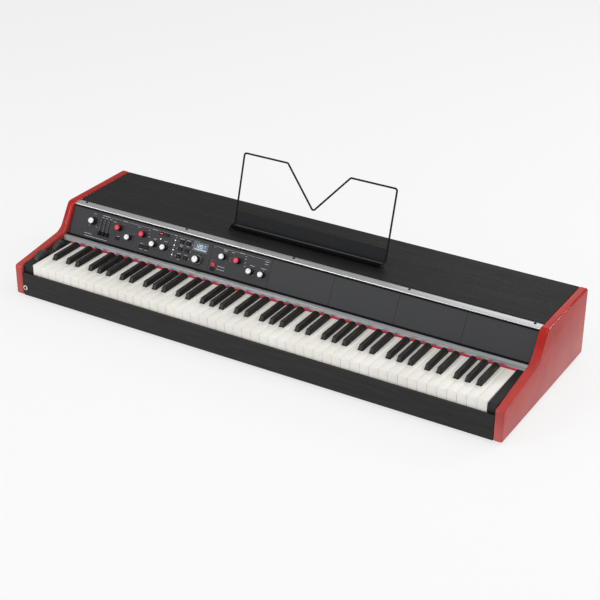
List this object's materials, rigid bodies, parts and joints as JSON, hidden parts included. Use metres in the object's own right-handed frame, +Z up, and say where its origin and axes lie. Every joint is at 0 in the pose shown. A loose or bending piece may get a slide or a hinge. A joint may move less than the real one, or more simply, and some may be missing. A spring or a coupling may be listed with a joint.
{
  "type": "stage piano",
  "caption": "Stage piano with weighted keys between lacquered cheeks, a slanted control panel, pitch and modulation wheels and a lift-off wire music rest.",
  "frame": {"origin": "on the floor under the middle of the instrument, in the plane of its feet", "axes": "+X along the keys from the low notes to the high ones, +Y from the player towards the rear wall, +Z up"},
  "size_m": [1.316, 0.455, 0.3572],
  "materials": {
    "red_lacquer": "deep red gloss lacquer over wood",
    "black_paint": "black grained powder coat on sheet metal",
    "black_plastic": "satin black moulded plastic",
    "panel_grey": "fine textured dark grey paint",
    "aluminium": "brushed and anodised",
    "red_felt": "red name felt",
    "ivory_plastic": "ivory coloured satin plastic",
    "ebony_plastic": "matt black plastic",
    "white_cap": "white satin plastic cap on a black body",
    "red_cap": "red satin plastic cap on a black body",
    "display_glass": "dark glossy display window",
    "circuit_board": "green solder resist",
    "steel_sheet": "zinc plated folded steel",
    "red_lens": "red translucent rocker lens"
  },
  "bodies": {
    "case": {"bottom_chassis": "black_paint", "front_rail": "black_paint", "left_cheek": "red_lacquer", "right_cheek": "red_lacquer", "top_lid": "black_paint", "upper_trim": "aluminium", "lower_trim": "aluminium", "felt_strip": "red_felt", "left_end_block": "black_plastic", "right_end_block": "black_plastic", "main_panel": "panel_grey", "effects_panel": "panel_grey", "blank_panels": "panel_grey", "display_window": "display_glass", "keybed_frame": "steel_sheet", "main_board": "circuit_board"},
    "rack": {"rack_wire": "black_paint", "rack_tray": "black_paint"},
    "white_keys": {"white_key_bank": "ivory_plastic"},
    "black_keys": {"black_key_bank": "ebony_plastic"},
    "key_C4": {"key_C4": "ivory_plastic"},
    "key_C_sharp_4": {"key_C_sharp_4": "ebony_plastic"},
    "key_D4": {"key_D4": "ivory_plastic"},
    "key_D_sharp_4": {"key_D_sharp_4": "ebony_plastic"},
    "key_E4": {"key_E4": "ivory_plastic"},
    "key_F4": {"key_F4": "ivory_plastic"},
    "key_F_sharp_4": {"key_F_sharp_4": "ebony_plastic"},
    "key_G4": {"key_G4": "ivory_plastic"},
    "key_G_sharp_4": {"key_G_sharp_4": "ebony_plastic"},
    "key_A4": {"key_A4": "ivory_plastic"},
    "key_A_sharp_4": {"key_A_sharp_4": "ebony_plastic"},
    "key_B4": {"key_B4": "ivory_plastic"},
    "pitch_wheel": {"pitch_wheel": "black_plastic"},
    "mod_wheel": {"mod_wheel": "black_plastic"},
    "volume_knob": {"volume_knob": "white_cap"},
    "reverb_knob": {"reverb_knob": "red_cap"},
    "tone_knob": {"tone_knob": "white_cap"},
    "chorus_knob": {"chorus_knob": "red_cap"},
    "rate_knob": {"rate_knob": "white_cap"},
    "depth_knob": {"depth_knob": "white_cap"},
    "data_encoder": {"data_encoder": "white_cap"},
    "drive_knob": {"drive_knob": "white_cap"},
    "amp_knob": {"amp_knob": "red_cap"},
    "treble_knob": {"treble_knob": "white_cap"},
    "bass_knob": {"bass_knob": "white_cap"},
    "drawbar_1": {"drawbar_1": "black_plastic"},
    "drawbar_2": {"drawbar_2": "black_plastic"},
    "drawbar_3": {"drawbar_3": "black_plastic"},
    "reverb_button": {"reverb_button": "black_plastic"},
    "chorus_button_1": {"chorus_button_1": "black_plastic"},
    "chorus_button_2": {"chorus_button_2": "black_plastic"},
    "engine_button_1": {"engine_button_1": "black_plastic"},
    "engine_button_2": {"engine_button_2": "black_plastic"},
    "sound_button_1": {"sound_button_1": "black_plastic"},
    "sound_button_2": {"sound_button_2": "black_plastic"},
    "sound_button_3": {"sound_button_3": "black_plastic"},
    "sound_button_4": {"sound_button_4": "black_plastic"},
    "sound_button_5": {"sound_button_5": "black_plastic"},
    "sound_button_6": {"sound_button_6": "black_plastic"},
    "drive_rocker": {"drive_rocker": "red_lens"}
  },
  "joints": [
    {"name": "rack_lift", "type": "slide", "parent": "case", "child": "rack", "axis": [0, 0, 1], "range_m": [0, 0.03]},
    {"name": "white_keys_press", "type": "hinge", "parent": "case", "child": "white_keys", "pos_m": [0, 0.0065, 0.074], "axis": [1, 0, 0], "range_deg": [0, 2.6], "stiffness_Nm_per_rad": 100, "springref_deg": -5.73},
    {"name": "black_keys_press", "type": "hinge", "parent": "case", "child": "black_keys", "pos_m": [0, 0.0065, 0.074], "axis": [1, 0, 0], "range_deg": [0, 3], "stiffness_Nm_per_rad": 60, "springref_deg": -5.73},
    {"name": "C4_press", "type": "hinge", "parent": "case", "child": "key_C4", "pos_m": [-0.0544, 0.0065, 0.074], "axis": [1, 0, 0], "range_deg": [0, 2.6], "stiffness_Nm_per_rad": 1, "springref_deg": -14.32},
    {"name": "C_sharp_4_press", "type": "hinge", "parent": "case", "child": "key_C_sharp_4", "pos_m": [-0.04502, 0.0065, 0.074], "axis": [1, 0, 0], "range_deg": [0, 3], "stiffness_Nm_per_rad": 1, "springref_deg": -14.32},
    {"name": "D4_press", "type": "hinge", "parent": "case", "child": "key_D4", "pos_m": [-0.0309, 0.0065, 0.074], "axis": [1, 0, 0], "range_deg": [0, 2.6], "stiffness_Nm_per_rad": 1, "springref_deg": -14.32},
    {"name": "D_sharp_4_press", "type": "hinge", "parent": "case", "child": "key_D_sharp_4", "pos_m": [-0.01678, 0.0065, 0.074], "axis": [1, 0, 0], "range_deg": [0, 3], "stiffness_Nm_per_rad": 1, "springref_deg": -14.32},
    {"name": "E4_press", "type": "hinge", "parent": "case", "child": "key_E4", "pos_m": [-0.0074, 0.0065, 0.074], "axis": [1, 0, 0], "range_deg": [0, 2.6], "stiffness_Nm_per_rad": 1, "springref_deg": -14.32},
    {"name": "F4_press", "type": "hinge", "parent": "case", "child": "key_F4", "pos_m": [0.0161, 0.0065, 0.074], "axis": [1, 0, 0], "range_deg": [0, 2.6], "stiffness_Nm_per_rad": 1, "springref_deg": -14.32},
    {"name": "F_sharp_4_press", "type": "hinge", "parent": "case", "child": "key_F_sharp_4", "pos_m": [0.0243, 0.0065, 0.074], "axis": [1, 0, 0], "range_deg": [0, 3], "stiffness_Nm_per_rad": 1, "springref_deg": -14.32},
    {"name": "G4_press", "type": "hinge", "parent": "case", "child": "key_G4", "pos_m": [0.0396, 0.0065, 0.074], "axis": [1, 0, 0], "range_deg": [0, 2.6], "stiffness_Nm_per_rad": 1, "springref_deg": -14.32},
    {"name": "G_sharp_4_press", "type": "hinge", "parent": "case", "child": "key_G_sharp_4", "pos_m": [0.05135, 0.0065, 0.074], "axis": [1, 0, 0], "range_deg": [0, 3], "stiffness_Nm_per_rad": 1, "springref_deg": -14.32},
    {"name": "A4_press", "type": "hinge", "parent": "case", "child": "key_A4", "pos_m": [0.0631, 0.0065, 0.074], "axis": [1, 0, 0], "range_deg": [0, 2.6], "stiffness_Nm_per_rad": 1, "springref_deg": -14.32},
    {"name": "A_sharp_4_press", "type": "hinge", "parent": "case", "child": "key_A_sharp_4", "pos_m": [0.0784, 0.0065, 0.074], "axis": [1, 0, 0], "range_deg": [0, 3], "stiffness_Nm_per_rad": 1, "springref_deg": -14.32},
    {"name": "B4_press", "type": "hinge", "parent": "case", "child": "key_B4", "pos_m": [0.0866, 0.0065, 0.074], "axis": [1, 0, 0], "range_deg": [0, 2.6], "stiffness_Nm_per_rad": 1, "springref_deg": -14.32},
    {"name": "pitch_wheel_bend", "type": "hinge", "parent": "case", "child": "pitch_wheel", "pos_m": [-0.6216, -0.1655, 0.084], "axis": [-1, 0, 0], "range_deg": [-40, 40], "stiffness_Nm_per_rad": 0.05},
    {"name": "mod_wheel_turn", "type": "hinge", "parent": "case", "child": "mod_wheel", "pos_m": [-0.6216, -0.0975, 0.0815], "axis": [-1, 0, 0], "range_deg": [0, 70]},
    {"name": "volume_turn", "type": "hinge", "parent": "case", "child": "volume_knob", "pos_m": [-0.5684, -0.01953, 0.1448], "axis": [0, -0.874, 0.4859], "range_deg": [-300, 0]},
    {"name": "reverb_turn", "type": "hinge", "parent": "case", "child": "reverb_knob", "pos_m": [-0.4867, -0.01943, 0.14497], "axis": [0, -0.874, 0.4859], "range_deg": [-190, 110]},
    {"name": "tone_turn", "type": "hinge", "parent": "case", "child": "tone_knob", "pos_m": [-0.4523, -0.0276, 0.13029], "axis": [0, -0.874, 0.4859], "range_deg": [-110, 190]},
    {"name": "chorus_turn", "type": "hinge", "parent": "case", "child": "chorus_knob", "pos_m": [-0.413, -0.01924, 0.14532], "axis": [0, -0.874, 0.4859], "range_deg": [-170, 130]},
    {"name": "rate_turn", "type": "hinge", "parent": "case", "child": "rate_knob", "pos_m": [-0.3763, -0.0273, 0.13081], "axis": [0, -0.874, 0.4859], "range_deg": [-110, 190]},
    {"name": "depth_turn", "type": "hinge", "parent": "case", "child": "depth_knob", "pos_m": [-0.3438, -0.02769, 0.13012], "axis": [0, -0.874, 0.4859], "range_deg": [-110, 190]},
    {"name": "data_turn", "type": "hinge", "parent": "case", "child": "data_encoder", "pos_m": [-0.2442, -0.031, 0.12417], "axis": [0, -0.874, 0.4859], "continuous": true},
    {"name": "drive_turn", "type": "hinge", "parent": "case", "child": "drive_knob", "pos_m": [-0.1748, -0.01963, 0.14462], "axis": [0, -0.874, 0.4859], "range_deg": [-110, 190]},
    {"name": "amp_turn", "type": "hinge", "parent": "case", "child": "amp_knob", "pos_m": [-0.1323, -0.01963, 0.14462], "axis": [0, -0.874, 0.4859], "range_deg": [-150, 150]},
    {"name": "treble_turn", "type": "hinge", "parent": "case", "child": "treble_knob", "pos_m": [-0.0924, -0.02779, 0.12994], "axis": [0, -0.874, 0.4859], "range_deg": [-130, 170]},
    {"name": "bass_turn", "type": "hinge", "parent": "case", "child": "bass_knob", "pos_m": [-0.0597, -0.02789, 0.12976], "axis": [0, -0.874, 0.4859], "range_deg": [-150, 150]},
    {"name": "drawbar_1_slide", "type": "slide", "parent": "case", "child": "drawbar_1", "axis": [0, 0.4859, 0.874], "range_m": [0, 0.035]},
    {"name": "drawbar_2_slide", "type": "slide", "parent": "case", "child": "drawbar_2", "axis": [0, 0.4859, 0.874], "range_m": [0, 0.035]},
    {"name": "drawbar_3_slide", "type": "slide", "parent": "case", "child": "drawbar_3", "axis": [0, 0.4859, 0.874], "range_m": [0, 0.035]},
    {"name": "reverb_button_press", "type": "slide", "parent": "case", "child": "reverb_button", "axis": [0, 0.874, -0.4859], "range_m": [0, 0.0008], "stiffness_N_per_m": 500, "springref_m": -0.001},
    {"name": "chorus_button_1_press", "type": "slide", "parent": "case", "child": "chorus_button_1", "axis": [0, 0.874, -0.4859], "range_m": [0, 0.0008], "stiffness_N_per_m": 500, "springref_m": -0.001},
    {"name": "chorus_button_2_press", "type": "slide", "parent": "case", "child": "chorus_button_2", "axis": [0, 0.874, -0.4859], "range_m": [0, 0.0008], "stiffness_N_per_m": 500, "springref_m": -0.001},
    {"name": "engine_button_1_press", "type": "slide", "parent": "case", "child": "engine_button_1", "axis": [0, 0.874, -0.4859], "range_m": [0, 0.0008], "stiffness_N_per_m": 500, "springref_m": -0.001},
    {"name": "engine_button_2_press", "type": "slide", "parent": "case", "child": "engine_button_2", "axis": [0, 0.874, -0.4859], "range_m": [0, 0.0008], "stiffness_N_per_m": 500, "springref_m": -0.001},
    {"name": "sound_button_1_press", "type": "slide", "parent": "case", "child": "sound_button_1", "axis": [0, 0.874, -0.4859], "range_m": [0, 0.0008], "stiffness_N_per_m": 500, "springref_m": -0.001},
    {"name": "sound_button_2_press", "type": "slide", "parent": "case", "child": "sound_button_2", "axis": [0, 0.874, -0.4859], "range_m": [0, 0.0008], "stiffness_N_per_m": 500, "springref_m": -0.001},
    {"name": "sound_button_3_press", "type": "slide", "parent": "case", "child": "sound_button_3", "axis": [0, 0.874, -0.4859], "range_m": [0, 0.0008], "stiffness_N_per_m": 500, "springref_m": -0.001},
    {"name": "sound_button_4_press", "type": "slide", "parent": "case", "child": "sound_button_4", "axis": [0, 0.874, -0.4859], "range_m": [0, 0.0008], "stiffness_N_per_m": 500, "springref_m": -0.001},
    {"name": "sound_button_5_press", "type": "slide", "parent": "case", "child": "sound_button_5", "axis": [0, 0.874, -0.4859], "range_m": [0, 0.0008], "stiffness_N_per_m": 500, "springref_m": -0.001},
    {"name": "sound_button_6_press", "type": "slide", "parent": "case", "child": "sound_button_6", "axis": [0, 0.874, -0.4859], "range_m": [0, 0.0008], "stiffness_N_per_m": 500, "springref_m": -0.001},
    {"name": "drive_rocker_tilt", "type": "hinge", "parent": "case", "child": "drive_rocker", "pos_m": [-0.1985, -0.03216, 0.11796], "axis": [-1, 0, 0], "range_deg": [0, 14]}
  ]
}
